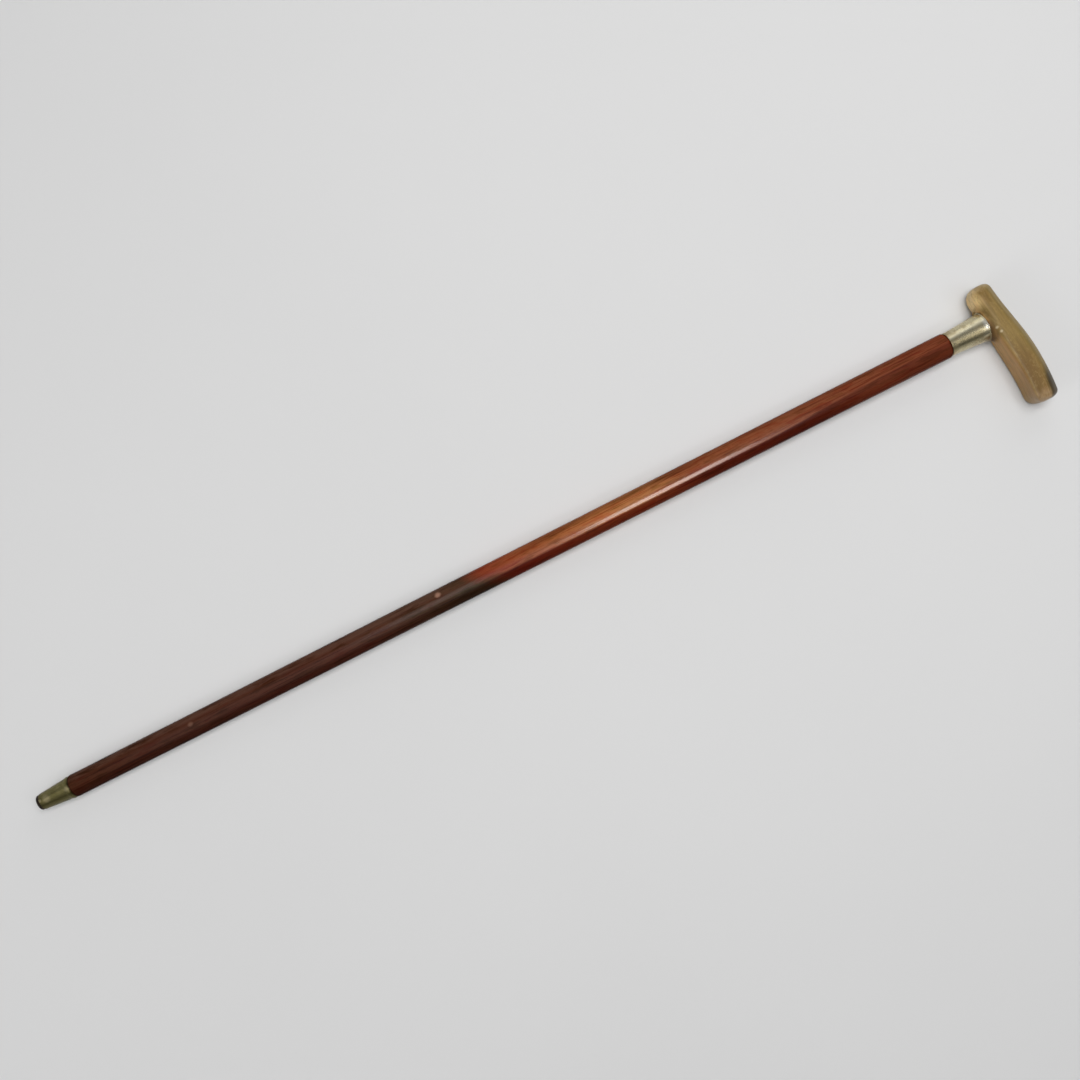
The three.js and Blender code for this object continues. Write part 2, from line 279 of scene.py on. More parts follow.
def turned(profile, columns, loop=False, poles=(False, False), relief=None):
    """A surface turned about the shaft's axis. At each point of the profile, a (along, radius) pair,
    it is a circle of that radius, and relief adds a small height that depends on the distance along
    and the angle round."""
    angle = full_turn(columns)
    u, r = np.repeat(profile[:, :1], columns, axis=1), profile[:, 1:]
    if relief is not None:
        r = r + relief(u, angle)
    grid = np.stack([u, r * np.sin(angle), r * np.cos(angle)], -1)
    ends = [(profile[i, 0], 0, 0) if closed else None for i, closed in zip((0, -1), poles)]
    return shell(grid, loop, ends)


def dents(u, angle, radius, seed, count, depth, width):
    """Shallow round hollows: the sum of bell curves at scattered places, each of its own depth and
    width, by the distance along and the arc length round."""
    chance = np.random.default_rng(seed)
    total = np.zeros(np.broadcast(u, angle).shape)
    low, high = float(np.min(u)), float(np.max(u))
    for place, turn, share, spread in chance.random((count, 4)):
        du = u - (low + (high - low) * place)
        da = radius * (np.mod(angle - 2 * np.pi * turn + np.pi, 2 * np.pi) - np.pi)
        size = width * (0.5 + spread)
        total = total - depth * share * np.exp(-(du**2 + da**2) / size**2)
    return total


def ferrule_outer(u):
    """The ferrule's straight taper."""
    t = (u - FERRULE_START) / (FERRULE_END - FERRULE_START)
    return FERRULE_LOWER_RADIUS + (FERRULE_UPPER_RADIUS - FERRULE_LOWER_RADIUS) * t


def shaft_outer(u):
    """The shaft's straight taper."""
    t = (u - WOOD_START) / (WOOD_END - WOOD_START)
    return SHAFT_LOWER_RADIUS + (SHAFT_UPPER_RADIUS - SHAFT_LOWER_RADIUS) * t


def collar_outer(u):
    """The collar's trumpet: the radius grows with a power of the distance along, from the lower end
    to the middle of the rolled lip."""
    t = np.clip((u - COLLAR_START) / (COLLAR_END - COLLAR_START), 0, 1)
    return COLLAR_LOWER_RADIUS + (COLLAR_RIM_RADIUS - COLLAR_LIP - COLLAR_LOWER_RADIUS) * t**FLARE_POWER


def tip_shell():
    """The iron tip: a disc with a worn, rounded edge and a spigot up into the ferrule. Grit has left
    shallow hollows in its edge."""
    spigot_end = FERRULE_START + TIP_SPIGOT
    lower, upper = (ferrule_outer(u) - FERRULE_WALL - SEAT_GAP for u in (FERRULE_START, spigot_end))
    profile = np.vstack([
        line((TIP_HOLLOW, 0.0), (0.0, TIP_FLAT_RADIUS), steps=12)[1:],
        arc(TIP_EDGE, TIP_RADIUS - TIP_EDGE, TIP_EDGE, 180, 90, steps=10),
        [[TIP_DISC, TIP_RADIUS]],
        [[TIP_DISC, lower]],
        line((TIP_DISC + FINE_CORNER_STEP, lower), (spigot_end, upper), steps=6),
        line((spigot_end, upper), (spigot_end, 0.0), steps=6),
    ])

    def worn(u, angle):
        """Dents in the disc alone."""
        return np.where(u < TIP_DISC, dents(u, angle, **TIP_DENTS), 0)

    return turned(profile, columns=144, poles=(True, True), relief=worn)


def ferrule_shell():
    """The brass sleeve: a straight taper with a low cosine bead at its upper rim, rolled at both rims,
    and the same taper a wall thickness in. Knocks have left shallow dents in it."""
    bead_start = FERRULE_END - BEAD_WIDTH
    lower_radius, upper_radius = ferrule_outer(FERRULE_START), ferrule_outer(FERRULE_END)
    inner_start, inner_end = lower_radius - FERRULE_WALL, upper_radius - FERRULE_WALL
    sunk_radius = upper_radius - FERRULE_ROLL_SUNK
    roll, small_roll = FERRULE_LOWER_ROLL, FERRULE_UPPER_ROLL

    def beaded(u):
        """The taper under one raised cosine."""
        wave = 0.5 - 0.5 * np.cos(2 * np.pi * (u - bead_start) / BEAD_WIDTH)
        return ferrule_outer(u) + BEAD_RISE * wave

    profile = np.vstack([
        arc(FERRULE_START + roll, lower_radius - roll, roll, 180, 100, steps=5),
        curve(np.linspace(FERRULE_START + 2 * roll, bead_start, FERRULE_ROWS), ferrule_outer),
        curve(np.linspace(bead_start, FERRULE_END - BEAD_STOP, BEAD_ROWS)[1:], beaded),
        arc(FERRULE_END - small_roll, sunk_radius - small_roll, small_roll, 70, 0, steps=4),
        line((FERRULE_END, inner_end), (FERRULE_START, inner_start), steps=20),
        [[FERRULE_START, inner_start]],
    ])

    def knocked(u, angle):
        """Dents all over."""
        return dents(u, angle, **FERRULE_DENTS)

    return turned(profile, columns=160, loop=True, relief=knocked)


def shaft_shell():
    """The wood: a straight taper between two rounded shoulders, with a tenon at each end and the
    stud's bore in the upper one. It is a little out of round, as hand-planed wood is."""
    lower_tenon = FERRULE_START + TIP_SPIGOT + SEAT_GAP
    upper_tenon = COLLAR_START + UPPER_TENON
    bore_end = WOOD_END - STUD_IN_SHAFT - STUD_BORE_SPARE
    tenon_radius = COLLAR_LOWER_RADIUS - COLLAR_WALL - SEAT_GAP
    inset = FERRULE_WALL + SEAT_GAP
    foot_radius, top_radius = ferrule_outer(lower_tenon) - inset, ferrule_outer(FERRULE_END) - inset
    low, high = LOWER_SHOULDER, UPPER_SHOULDER
    profile = np.vstack([
        line((lower_tenon, foot_radius), (WOOD_START, top_radius), steps=6),
        arc(WOOD_START + low, SHAFT_LOWER_RADIUS - low, low, 180, 90, steps=10),
        curve(np.linspace(TAPER_START, TAPER_END, SHAFT_ROWS), shaft_outer),
        arc(WOOD_END - high, SHAFT_UPPER_RADIUS - high, high, 90, 18, steps=14),
        [[WOOD_END, tenon_radius]],
        line((WOOD_END + CORNER_STEP, tenon_radius), (upper_tenon, tenon_radius), steps=8),
        line((upper_tenon, tenon_radius), (upper_tenon, STUD_BORE_RADIUS), steps=3),
        line((upper_tenon, STUD_BORE_RADIUS), (bore_end, STUD_BORE_RADIUS), steps=10),
        [[bore_end, STUD_BORE_RADIUS]],
    ])

    def planed(u, angle):
        """Slow waves that twist along the shaft and fade at its ends: three swells a turn, which come
        and go, and five ripples."""
        shows = between(u, WOOD_START + 2, WOOD_START + 12, WOOD_END - 12, WOOD_END - 3)
        swell = np.sin(3 * angle + u / SWELL_TWIST) * np.sin(u / SWELL_BEAT + 1)
        ripple = np.sin(5 * angle - u / RIPPLE_TWIST)
        return PLANED_DEPTH * shows * (swell + RIPPLE_SHARE * ripple)

    return turned(profile, columns=128, poles=(True, True), relief=planed)


def collar_shell():
    """The plated collar: a trumpet with a rolled lip, and the same curve a wall thickness in. Knocks
    have left shallow dents in it, away from its rims."""
    lip_at, roll = COLLAR_END - COLLAR_LIP, COLLAR_LOWER_ROLL
    outside = np.linspace(COLLAR_START + roll, COLLAR_END - 2 * COLLAR_LIP, COLLAR_ROWS)
    inside = np.linspace(lip_at, COLLAR_START, COLLAR_INNER_ROWS)
    profile = np.vstack([
        arc(COLLAR_START + roll, COLLAR_LOWER_RADIUS - roll, roll, 180, 100, steps=4),
        curve(outside, collar_outer),
        arc(lip_at, COLLAR_RIM_RADIUS - COLLAR_LIP, COLLAR_LIP, 150, -50, steps=24),
        curve(inside, collar_outer) - [0, COLLAR_WALL],
    ])

    def knocked(u, angle):
        """Dents that fade towards both rims."""
        shows = between(u, COLLAR_START, COLLAR_START + 2, lip_at - 2.5, lip_at - 0.6)
        return shows * dents(u, angle, **COLLAR_DENTS)

    return turned(profile, columns=192, loop=True, relief=knocked)


def midline(v):
    """The handle's arch: one raised cosine, highest at its crest down the long grip."""
    wave = 0.5 - 0.5 * np.cos(np.pi * (v + CREST_AT) / ARCH_HALF_WAVE)
    return COLLAR_END + MIDLINE_RISE - ARCH_FALL * wave


def bar_radius(v, angle):
    """The bar's section: a soft least distance to its flats, which is the sum of the powers of their
    closeness, brought back by the root. The flats thicken from the short arm to the grip, and towards
    the long end the slopes run out and leave the section squarer."""
    grip, squarer = smooth(-v, *THICKENS), smooth(-v, *SQUARES)
    near = 0
    for turns, (short, full, end) in FLATS.items():
        distance = short + (full - short) * grip + (end - full) * squarer
        for turn in turns:
            closeness = np.maximum(0, np.cos(angle - math.radians(turn))) / distance
            near = near + closeness**SECTION_POWER
    return near ** (-1 / SECTION_POWER)


def handle_rows(angle):
    """The place along the arms of each row and angle of the handle, and each row's share of the full
    section. Each end closes like a quarter of a superellipse, longer on the worn underside, and the
    rows between crowd in a bell curve at the neck's wall, so that they follow it closely."""
    under = (0.5 - 0.5 * np.cos(angle)) ** 2
    long_round, short_round = END_ROUND + LONG_END_WEAR * under, END_ROUND + SHORT_END_WEAR * under
    turn = np.pi / 2 * (np.arange(END_ROWS) + 1) / END_ROWS
    power = 2 / END_SQUARENESS
    inward, scale = 1 - np.cos(turn[:, None]) ** power, np.sin(turn) ** power

    t = np.linspace(0, 1, CROWD_SAMPLES)
    nearly_v = -LONG_ARM + END_ROUND + t * (LONG_ARM + SHORT_ARM - 2 * END_ROUND)
    weight = 1 + CROWDING * np.exp(-((np.abs(nearly_v) - CROWD_AT) / CROWD_WIDTH) ** 2)
    travel = np.concatenate([[0], np.cumsum((weight[1:] + weight[:-1]) / 2)])
    t = np.interp(np.linspace(0, travel[-1], BODY_ROWS + 2), travel, t)[1:-1, None]
    v = np.vstack([
        -LONG_ARM + inward * long_round,
        (-LONG_ARM + long_round) * (1 - t) + (SHORT_ARM - short_round) * t,
        (SHORT_ARM - inward * short_round)[::-1],
    ])
    return v, np.concatenate([scale, np.ones(BODY_ROWS), scale[::-1]])[:, None]


def handle_shell():
    """The horn handle. Rays run out from the arched middle line, at each place along the arms and each
    angle round, to where they leave the bar or the neck, whichever is farther, with a hollow fillet
    between the two. The neck stands on the collar's rim, and the section leans more towards the ends."""
    angle = full_turn(HANDLE_COLUMNS)
    v, size = handle_rows(angle)
    from_long_end = (v + LONG_ARM) / (LONG_ARM + SHORT_ARM)
    lean = np.radians(LONG_END_LEAN + (SHORT_END_LEAN - LONG_END_LEAN) * from_long_end)
    bar = bar_radius(v, angle) * size

    def point(r):
        """Stick coordinates of the point this far from the middle line, on the leaning ray."""
        out = r * np.cos(angle)
        return midline(v) + out * np.cos(lean), v + out * np.sin(lean), r * np.sin(angle)

    def outside(r):
        """Positive outside the horn: the union of bar and neck, less the seat for the collar's rim."""
        u, across, w = point(r)
        rise, reach = u - COLLAR_END, np.hypot(across, w)
        from_bar, from_neck = r - bar, np.maximum(reach - NECK_RADIUS, rise - NECK_ROOT)
        fillet = FILLET_LEAST + FILLET_EXTRA * np.clip(1 - (w / FILLET_HALF_WIDTH) ** 2, 0, 1)
        blend = np.clip(0.5 + 0.5 * (from_neck - from_bar) / fillet, 0, 1)
        union = from_neck * (1 - blend) + from_bar * blend - fillet * blend * (1 - blend)
        seat = np.minimum(COLLAR_RIM_RADIUS + SEAT_GAP - reach, SEAT_GAP - rise)
        return np.maximum(union, seat)

    inner, outer = np.zeros_like(bar), np.full_like(bar, SEARCH_REACH)
    for _ in range(SEARCH_HALVINGS):
        middle = (inner + outer) / 2
        beyond = outside(middle) > 0
        inner, outer = np.where(beyond, inner, middle), np.where(beyond, middle, outer)
    r = np.where(np.abs(v) < NECK_REACH, inner, bar)
    poles = [(float(midline(end)), end, 0.0) for end in (-LONG_ARM, SHORT_ARM)]
    return shell(np.stack(point(r), -1), poles=poles)


def neck_plug():
    """The plug under the neck, which follows the inside of the collar with a gap."""
    inset = COLLAR_WALL + SEAT_GAP
    inside = np.linspace(COLLAR_END - NECK_DEPTH, COLLAR_END, PLUG_ROWS)
    profile = np.vstack([
        curve(inside, collar_outer) - [0, inset],
        [[COLLAR_END + PLUG_OVERLAP, collar_outer(COLLAR_END) - inset]],
    ])
    return turned(profile, columns=96, poles=(True, True))


# Materials


def colour(red, green, blue):
    """A colour from its 0 to 255 screen values."""
    parts = [c / 255 for c in (red, green, blue)]
    return tuple(c / 12.92 if c < 0.04045 else ((c + 0.055) / 1.055) ** 2.4 for c in parts) + (1.0,)


class Wire:
    """An output socket that can be used in sums. Each sum on it adds a Math node."""

    def __init__(self, finish, socket):
        self.finish, self.socket = finish, socket

    def __add__(self, other):
        return self.finish.math("ADD", self, other)

    def __sub__(self, other):
        return self.finish.math("SUBTRACT", self, other)

    def __rsub__(self, other):
        return self.finish.math("SUBTRACT", other, self)

    def __mul__(self, other):
        return self.finish.math("MULTIPLY", self, other)

    __radd__, __rmul__ = __add__, __mul__


# How a layer of colour changes what is under it, where it doesn't cover it
STAIN = "MULTIPLY"


class Finish:
    """A material or a world while its nodes are being laid."""

    def __init__(self, owner):
        owner.use_nodes = True
        self.owner, self.tree = owner, owner.node_tree
        self.tree.nodes.clear()

    def node(self, kind, settings=(), sockets=(), output=0):
        """Adds a node: its settings first, then the values or links of its sockets. The result is one
        of its outputs, if it has any."""
        made = self.tree.nodes.new(kind)
        for key, value in dict(settings).items():
            if key == "stops":
                elements = made.color_ramp.elements
                for place, shade in value[2:]:
                    elements.new(place)
                for element, (place, shade) in zip(elements, value):
                    element.position, element.color = place, shade
            else:
                setattr(made, key, value)
        for key, value in dict(sockets).items():
            if isinstance(value, Wire):
                self.tree.links.new(value.socket, made.inputs[key])
            else:
                made.inputs[key].default_value = value
        return Wire(self, made.outputs[output]) if made.outputs else None

    def math(self, operation, a, b=0.0):
        """A Math node on one or two values."""
        return self.node("ShaderNodeMath", {"operation": operation}, {0: a, 1: b})

    def step(self, value, low, high):
        """0 at low, 1 at high and an S-shaped cubic between them. Low may be the larger."""
        return self.node(
            "ShaderNodeMapRange", {"interpolation_type": "SMOOTHSTEP"},
            {"Value": value, "From Min": low, "From Max": high},
        )

    def band(self, value, start, full, fading, gone):
        """1 from full to fading, 0 outside start and gone, and an S-shaped cubic on each side."""
        return self.step(value, start, full) * self.step(value, gone, fading)

    def distance(self, x, y):
        """The root of the sum of the squares."""
        return self.math("SQRT", x * x + y * y)

    def split(self, place):
        """The three numbers of a vector."""
        made = self.node("ShaderNodeSeparateXYZ", (), {0: place}).socket.node
        return [Wire(self, made.outputs[axis]) for axis in range(3)]

    def stick(self):
        """Stick coordinates u, v and w in millimetres, from Object coordinates."""
        x, y, z = self.split(self.node("ShaderNodeTexCoord", output="Object"))
        u, v, height = ((axis - float(start)) * METRE for axis, start in zip((x, y, z), FOOT))
        return u, v, height - u * float(ALONG[2])

    def noise(self, place, scale=1.0, detail=3.0, rough=0.6, warp=0.0):
        """Cloudy noise about a half: waves to a unit of length, octaves, their strength and twist."""
        return self.node(
            "ShaderNodeTexNoise", (),
            {"Vector": place, "Scale": scale, "Detail": detail, "Roughness": rough, "Distortion": warp},
        )

    def grain(self, place, waves, **noise):
        """Noise on stick coordinates, with its own number of waves to a millimetre along each."""
        stretched = {axis: place[axis] * waves[axis] for axis in range(3)}
        return self.noise(self.node("ShaderNodeCombineXYZ", (), stretched), **noise)

    def spot(self, place, centre, radius, core, ragged, length=1.0):
        """A mark on the side away from the floor: 1 inside its core and 0 past its radius, by the
        distance from its centre in u and v plus a ragged edge. Its length stretches it along u."""
        u, v, w = place
        away = self.distance((u - centre[0]) * (1 / length), v - centre[1]) + ragged
        return self.step(away, radius, core) * self.step(w, 1.0, 3.0)

    def mix(self, share, a, b, how="MIX"):
        """A colour between two others, or one stained by the other."""
        settings = {"data_type": "RGBA", "blend_type": how}
        return self.node("ShaderNodeMix", settings, {0: share, 6: a, 7: b}, output=2)

    def layered(self, base, layers):
        """A colour under layers. Each is its share and its screen colour, and may end in STAIN."""
        for share, shade, *how in layers:
            base = self.mix(share, base, colour(*shade), *how)
        return base

    def ramp(self, value, stops):
        """A screen colour that passes from stop to stop, each at its own place from 0 up."""
        end = stops[-1][0]
        shades = [(place / end, colour(*shade)) for place, shade in stops]
        return self.node("ShaderNodeValToRGB", {"stops": shades}, {0: value * (1 / end)})

    def bump(self, height, strength):
        """A normal that tips with the height, given in millimetres."""
        settled = {"Height": height, "Distance": 1 / METRE, "Strength": strength}
        return self.node("ShaderNodeBump", (), settled)

    def seen(self):
        """One for the rays that show a backdrop: the camera's, those of shine and those through glass."""
        rays = self.node("ShaderNodeLightPath").socket.node
        kinds = ("Is Camera Ray", "Is Glossy Ray", "Is Transmission Ray")
        camera, shine, glass = (Wire(self, rays.outputs[kind]) for kind in kinds)
        return self.math("MINIMUM", camera + shine + glass, 1.0)

    def surface(self, sockets):
        """One Principled shader."""
        return self.node("ShaderNodeBsdfPrincipled", (), sockets)

    def ended(self, shader, kind="ShaderNodeOutputMaterial"):
        """Ends the nodes in a shader, and gives back the material or world."""
        self.node(kind, (), {"Surface": shader})
        return self.owner


# Two painted highlights on the horn by the collar: where they are in u and v
NECK_GLINTS = [(COLLAR_END + 5.2, -5.2), (COLLAR_END + 6.6, -9.6)]


def horn():
    """Polished horn with fibres along the arms. The grip is olive tan, browner towards its long end. On its
    face towards the shaft it has painted shade, deepest under the ridge, and a pale warm edge that is
    partly the horn's colour and partly painted light from the floor, with a painted highlight along a line
    beside it. The short arm turns cream inside, partly paler horn and partly painted light on that shaded
    face, and the long end is pale, with a painted highlight on its rim and a dark streak along its outer
    edge. Painted shade and two painted highlights lie in the hollow round the collar."""
    f = Finish(bpy.data.materials.new("polished_horn"))
    place = u, v, w = f.stick()
    wave = f.math("COSINE", (v + CREST_AT) * (math.pi / ARCH_HALF_WAVE)) * (0.5 * ARCH_FALL)
    # How far out from the handle's middle line, away from the shaft
    out = u - wave - (COLLAR_END + MIDLINE_RISE - 0.5 * ARCH_FALL)
    arms = (out, v, w)
    cloud = f.grain(arms, (0.07, 0.045, 0.07), rough=0.55)
    fibre = f.grain(arms, (0.7, 0.05, 0.7), detail=4.0, warp=0.4)
    fine = f.grain(arms, (2.6, 0.14, 2.6))
    fleck = f.grain(arms, (0.5, 0.35, 0.5))
    drift = (cloud - 0.5) * 12.0

    grip = f.step(v, -8.0, -24.0)
    short = f.step(v + drift * 0.4, 10.0, 21.0)
    # A painted highlight along a line by the grip's inner edge, broken up by the cloud
    rubbed_and_sheen = f.band(out, -9.8, -8.9, -8.3, -7.4) * grip * f.step(cloud + (fibre - 0.5) * 0.5, 0.4, 0.62)
    pale_end = f.step(v + drift * 0.3 + (fibre - 0.5) * 14.0, -63.0, -77.0)
    edge = out + (fibre - 0.5) * 5.0 + f.step(v, -46.0, -66.0) * 2.0
    streak = f.step(edge, 3.2, 7.6) * f.step(v + drift, -44.0, -58.0) * f.step(w + drift * 0.5, -7.0, 3.0)
    # Painted shade in the hollow round the collar
    hollow_shade = f.step(f.distance(v, w), 18.5, 13.8) * f.step(u, COLLAR_END + 7.5, COLLAR_END + 1.5)
    # Two painted highlights on the horn by the collar
    painted_glints = [
        (f.spot(place, glint, radius=1.6, core=0.3, ragged=fleck - 0.5) * 0.55, (226, 210, 174))
        for glint in NECK_GLINTS
    ]
    base = f.mix(f.step(v + drift, -14.0, -46.0), colour(140, 116, 69), colour(131, 103, 60))
    body = f.layered(base, [
        # The grip's face towards the shaft: painted shade, deepest under the ridge, then a pale edge and
        # its rim, partly paler horn and partly painted light from the floor, and a painted highlight along
        # a line by that edge
        (f.step(v, -14.0, -50.0) * f.step(out, 3.0, -2.0) * 0.5, (106, 80, 46)),
        (grip * f.step(out, -3.5, -6.5) * 0.3, (98, 74, 44)),
        (f.step(out, -8.0, -11.0) * 0.9, (196, 150, 90)),
        (f.step(out, -10.6, -12.6) * f.step(v, -24.0, -56.0) * 0.45, (236, 200, 150)),
        (rubbed_and_sheen * 0.3, (206, 182, 128)),
        # The outer side: more olive
        (f.step(out + drift * 0.4, 1.0, 8.0) * 0.5, (122, 108, 62)),
        # The short arm: brown, then cream, its palest edge and its end. The cream and its palest edge are
        # partly paler horn and partly painted light on the shaded face towards the shaft.
        (short * f.step(out, 4.0, 0.0) * 0.5, (118, 88, 46)),
        (short * f.step(out + drift * 0.2, -2.5, -10.5), (246, 212, 150)),
        (short * f.step(out, -10.0, -12.5) * 0.7, (255, 238, 196)),
        (f.step(v, 25.5, 31.0) * (0.2 + f.step(out, 0.0, -7.0) * 0.6), (238, 210, 156)),
        # Pale flecks, dark fibres and fine pale ones
        (f.step(fleck, 0.52, 0.66) * 0.35, (160, 138, 88)),
        (f.step(fibre, 0.42, 0.66) * 0.36, (98, 78, 41)),
        (f.step(fine, 0.54, 0.72) * 0.16, (196, 172, 118)),
        # The long end: paler up to a fibrous border, with a painted highlight on its rim, and the streak
        # beside it
        (pale_end * 0.65, (184, 154, 118)),
        (f.step(v, -75.0, -79.0) * 0.35, (216, 198, 172)),
        (streak * 0.9, (58, 50, 36)),
        # Painted shade in the hollow round the collar, deeper on the grip's side, and two painted
        # highlights
        (hollow_shade * (0.35 + f.step(v, 8.0, -4.0) * 0.5), (58, 40, 18)),
        *painted_glints,
    ])
    return f.ended(f.surface({
        "Base Color": body,
        "Roughness": 0.38 + (fibre - 0.5) * 0.16 + hollow_shade * 0.2,
        "Normal": f.bump(fibre * 0.06 + fine * 0.02 + fleck * 0.03, 0.5),
        "IOR": 1.54,
        "Specular IOR Level": 0.2,
        "Subsurface Weight": 0.12,
        "Subsurface Radius": (0.004, 0.0022, 0.001),
        "Subsurface Scale": 1.0,
    }))


# Tones of the wood at places up the shaft. The sharp change lies between the third and the fourth.
WOOD_TONES = [
    (0.0, (68, 37, 23)), (274.9, (77, 42, 29)), (400.7, (76, 52, 37)), (421.5, (134, 61, 38)),
    (462.3, (147, 82, 48)), (524.8, (169, 106, 61)), (570.6, (168, 109, 66)), (599.8, (133, 74, 44)),
    (724.7, (124, 68, 43)), (833.0, (117, 60, 37)),
]

# Chips in the varnish: where they are in u and v, their radius and how bare they are. They are a little
# longer than wide.
CHIPS = [((369.3, 5.4), 2.8, 0.75), ((142.6, 2.2), 2.6, 0.22)]
CHIP_LENGTH = 1.29


def varnished_wood():
    """Red-brown wood under worn varnish, with long streaks, blotches and pores. It is dark and dull up to a
    sharp change near its middle, with an olive cast just below it, and orange-red above. Its flank towards
    the grip has painted shade, partly the wood's own darker side. Towards the short arm it is dusty below
    the change, and above it there is painted shade along that edge. Between its top and its sides the
    varnish has worn dull, and two chips show bare wood."""
    f = Finish(bpy.data.materials.new("varnished_wood"))
    place = u, v, w = f.stick()
    stain = f.grain(place, (0.006, 0.05, 0.05), rough=0.5)
    blotch = f.grain(place, (0.045, 0.22, 0.22), detail=4.0, warp=0.3)
    streaks = f.grain(place, (0.022, 0.75, 0.75), detail=4.0, rough=0.62)
    pores = f.grain(place, (0.12, 2.6, 2.6), rough=0.7)
    # The angle round the shaft and the distance up it, both wavering, the distance also slanted
    turn = f.math("ARCTAN2", v, w) + (stain - 0.5) * 0.2 + (streaks - 0.5) * 0.12
    reach = u + (stain - 0.5) * 22.0 + (streaks - 0.5) * 26.0 + f.math("SINE", turn) * 16.0

    aside = f.math("ABSOLUTE", turn)
    above = f.step(aside, 2.6, 1.8)
    olive = f.band(reach, 300.0, 380.0, 408.0, 434.0) * f.step(turn, 0.1, -0.2) * above
    dusty = f.step(turn, 0.3, 0.7) * f.step(reach, 400.0, 370.0) * f.step(blotch, 0.3, 0.6) * above
    # Painted shade along the edge towards the short arm, above the change
    edge_shade = f.step(turn, 0.5, 0.72) * f.band(reach, 440.0, 490.0, 590.0, 640.0) * above
    # The flank's painted shade, partly the wood's own darker side: it climbs to the top of the shaft near
    # the handle, and fades on the side and underneath
    flank_turn = turn - 0.03 - f.step(reach, 650.0, 780.0) * 0.42
    flank_depth = 0.5 + f.band(reach, 320.0, 380.0, 690.0, 760.0) * 0.38 - olive * 0.22
    flank_fade = 1.0 - f.step(turn, -1.15, -1.55) * 0.65 - f.step(turn, -1.8, -2.6) * 0.35
    ragged = (pores - 0.5) * 1.6
    chips = [
        (f.spot(place, centre, radius, radius * 0.2, ragged, CHIP_LENGTH) * bareness, (164, 124, 104))
        for centre, radius, bareness in CHIPS
    ]
    tone = f.layered(f.ramp(reach, WOOD_TONES), [
        # Redder blotches, greyer ones and dark streaks
        (f.step(blotch, 0.5, 0.66) * 0.5, (232, 150, 120), STAIN),
        (f.step(blotch, 0.5, 0.34) * 0.6, (190, 190, 150), STAIN),
        (f.step(streaks, 0.46, 0.66) * 0.55, (160, 104, 84), STAIN),
        # The flank's painted shade, the olive and dusty stretches, and painted shade along the edge towards
        # the short arm
        (f.step(flank_turn, -0.23, -0.42) * flank_depth * flank_fade, (136, 54, 32), STAIN),
        (olive * 0.7, (200, 236, 190), STAIN),
        (dusty * 0.5, (98, 72, 60)),
        (edge_shade * 0.6, (186, 172, 160), STAIN),
        # Pores and chips
        (f.step(pores, 0.55, 0.7) * 0.35, (30, 12, 6)),
        *chips,
    ])
    # On top the varnish is worn off at the foot and thinner near the handle. Elsewhere it is kept on the
    # sides and underneath.
    kept = f.step(reach, 20.0, 130.0) * (1.0 - f.step(reach, 668.0, 735.0) * 0.75)
    top = f.band(turn, -0.62, -0.36, 0.12, 0.5) * kept
    return f.ended(f.surface({
        "Base Color": tone,
        "Roughness": 0.42 + (streaks - 0.5) * 0.1 + f.step(pores, 0.5, 0.7) * 0.08,
        "Normal": f.bump((1 - f.step(pores, 0.52, 0.72)) * 0.04 + stain * 0.05, 0.35),
        "Specular IOR Level": 0.0,
        "Coat Weight": 0.05 + f.step(aside, 1.0, 1.4) * 0.45 + top * 0.75,
        "Coat Roughness": 0.16,
        "Coat IOR": 1.5,
    }))


def plated_collar():
    """Worn plating with a warm tarnish, more of it at the lower end. A painted dark reflection runs up the
    side towards the grip, and a painted bright reflection beside it, towards the short arm. The lip has a
    painted highlight on top and is darker from the grip's side round to the underside."""
    f = Finish(bpy.data.materials.new("plated_collar"))
    place = u, v, w = f.stick()
    patch = f.grain(place, (0.14, 0.14, 0.14), detail=4.0)
    brushed = f.grain(place, (0.5, 5.0, 5.0))
    tarnish = f.step(patch + f.step(u, COLLAR_START + 9.0, COLLAR_START) * 0.16, 0.48, 0.7)
    turn = f.math("ARCTAN2", v, w)
    # A painted dark reflection down the side towards the grip
    dark_reflection_band = f.band(turn, -0.95, -0.7, -0.12, 0.02) * f.step(u, COLLAR_END - 3.5, COLLAR_END - 8.0)
    # A painted highlight on top of the lip
    lip_highlight = f.band(turn, -0.34, -0.12, 0.25, 0.55) * f.step(u, COLLAR_END - 4.5, COLLAR_END - 2.0)
    # Where the lip is darker, from the grip's side round to the underside
    lip_darkening = f.band(turn, -2.6, -1.8, -0.8, -0.5) * f.step(u, COLLAR_END - 6.0, COLLAR_END - 1.0)
    tone = f.layered(f.mix(tarnish * 0.6, colour(197, 187, 154), colour(154, 133, 96)), [
        (dark_reflection_band * 0.75, (146, 136, 104)),
        # A painted bright reflection down the side towards the short arm
        (f.band(turn, 0.12, 0.3, 0.44, 0.66) * 0.6, (230, 223, 194)),
        (lip_highlight * 0.75, (252, 249, 238)),
        (lip_darkening * 0.6, (110, 92, 62)),
    ])
    return f.ended(f.surface({
        "Base Color": tone,
        "Metallic": 1.0,
        "Roughness": 0.27 + tarnish * 0.1 + (brushed - 0.5) * 0.08,
        "Normal": f.bump(brushed * 0.007, 0.3),
    }))


# Painted highlights on the brass: where they are in u and v, and their radius
BRASS_GLINTS = [
    ((FERRULE_END - 2.4, 0.8), 3.4), ((FERRULE_START + 0.8, 1.6), 1.9), ((FERRULE_START + 6.9, 1.0), 4.5),
]


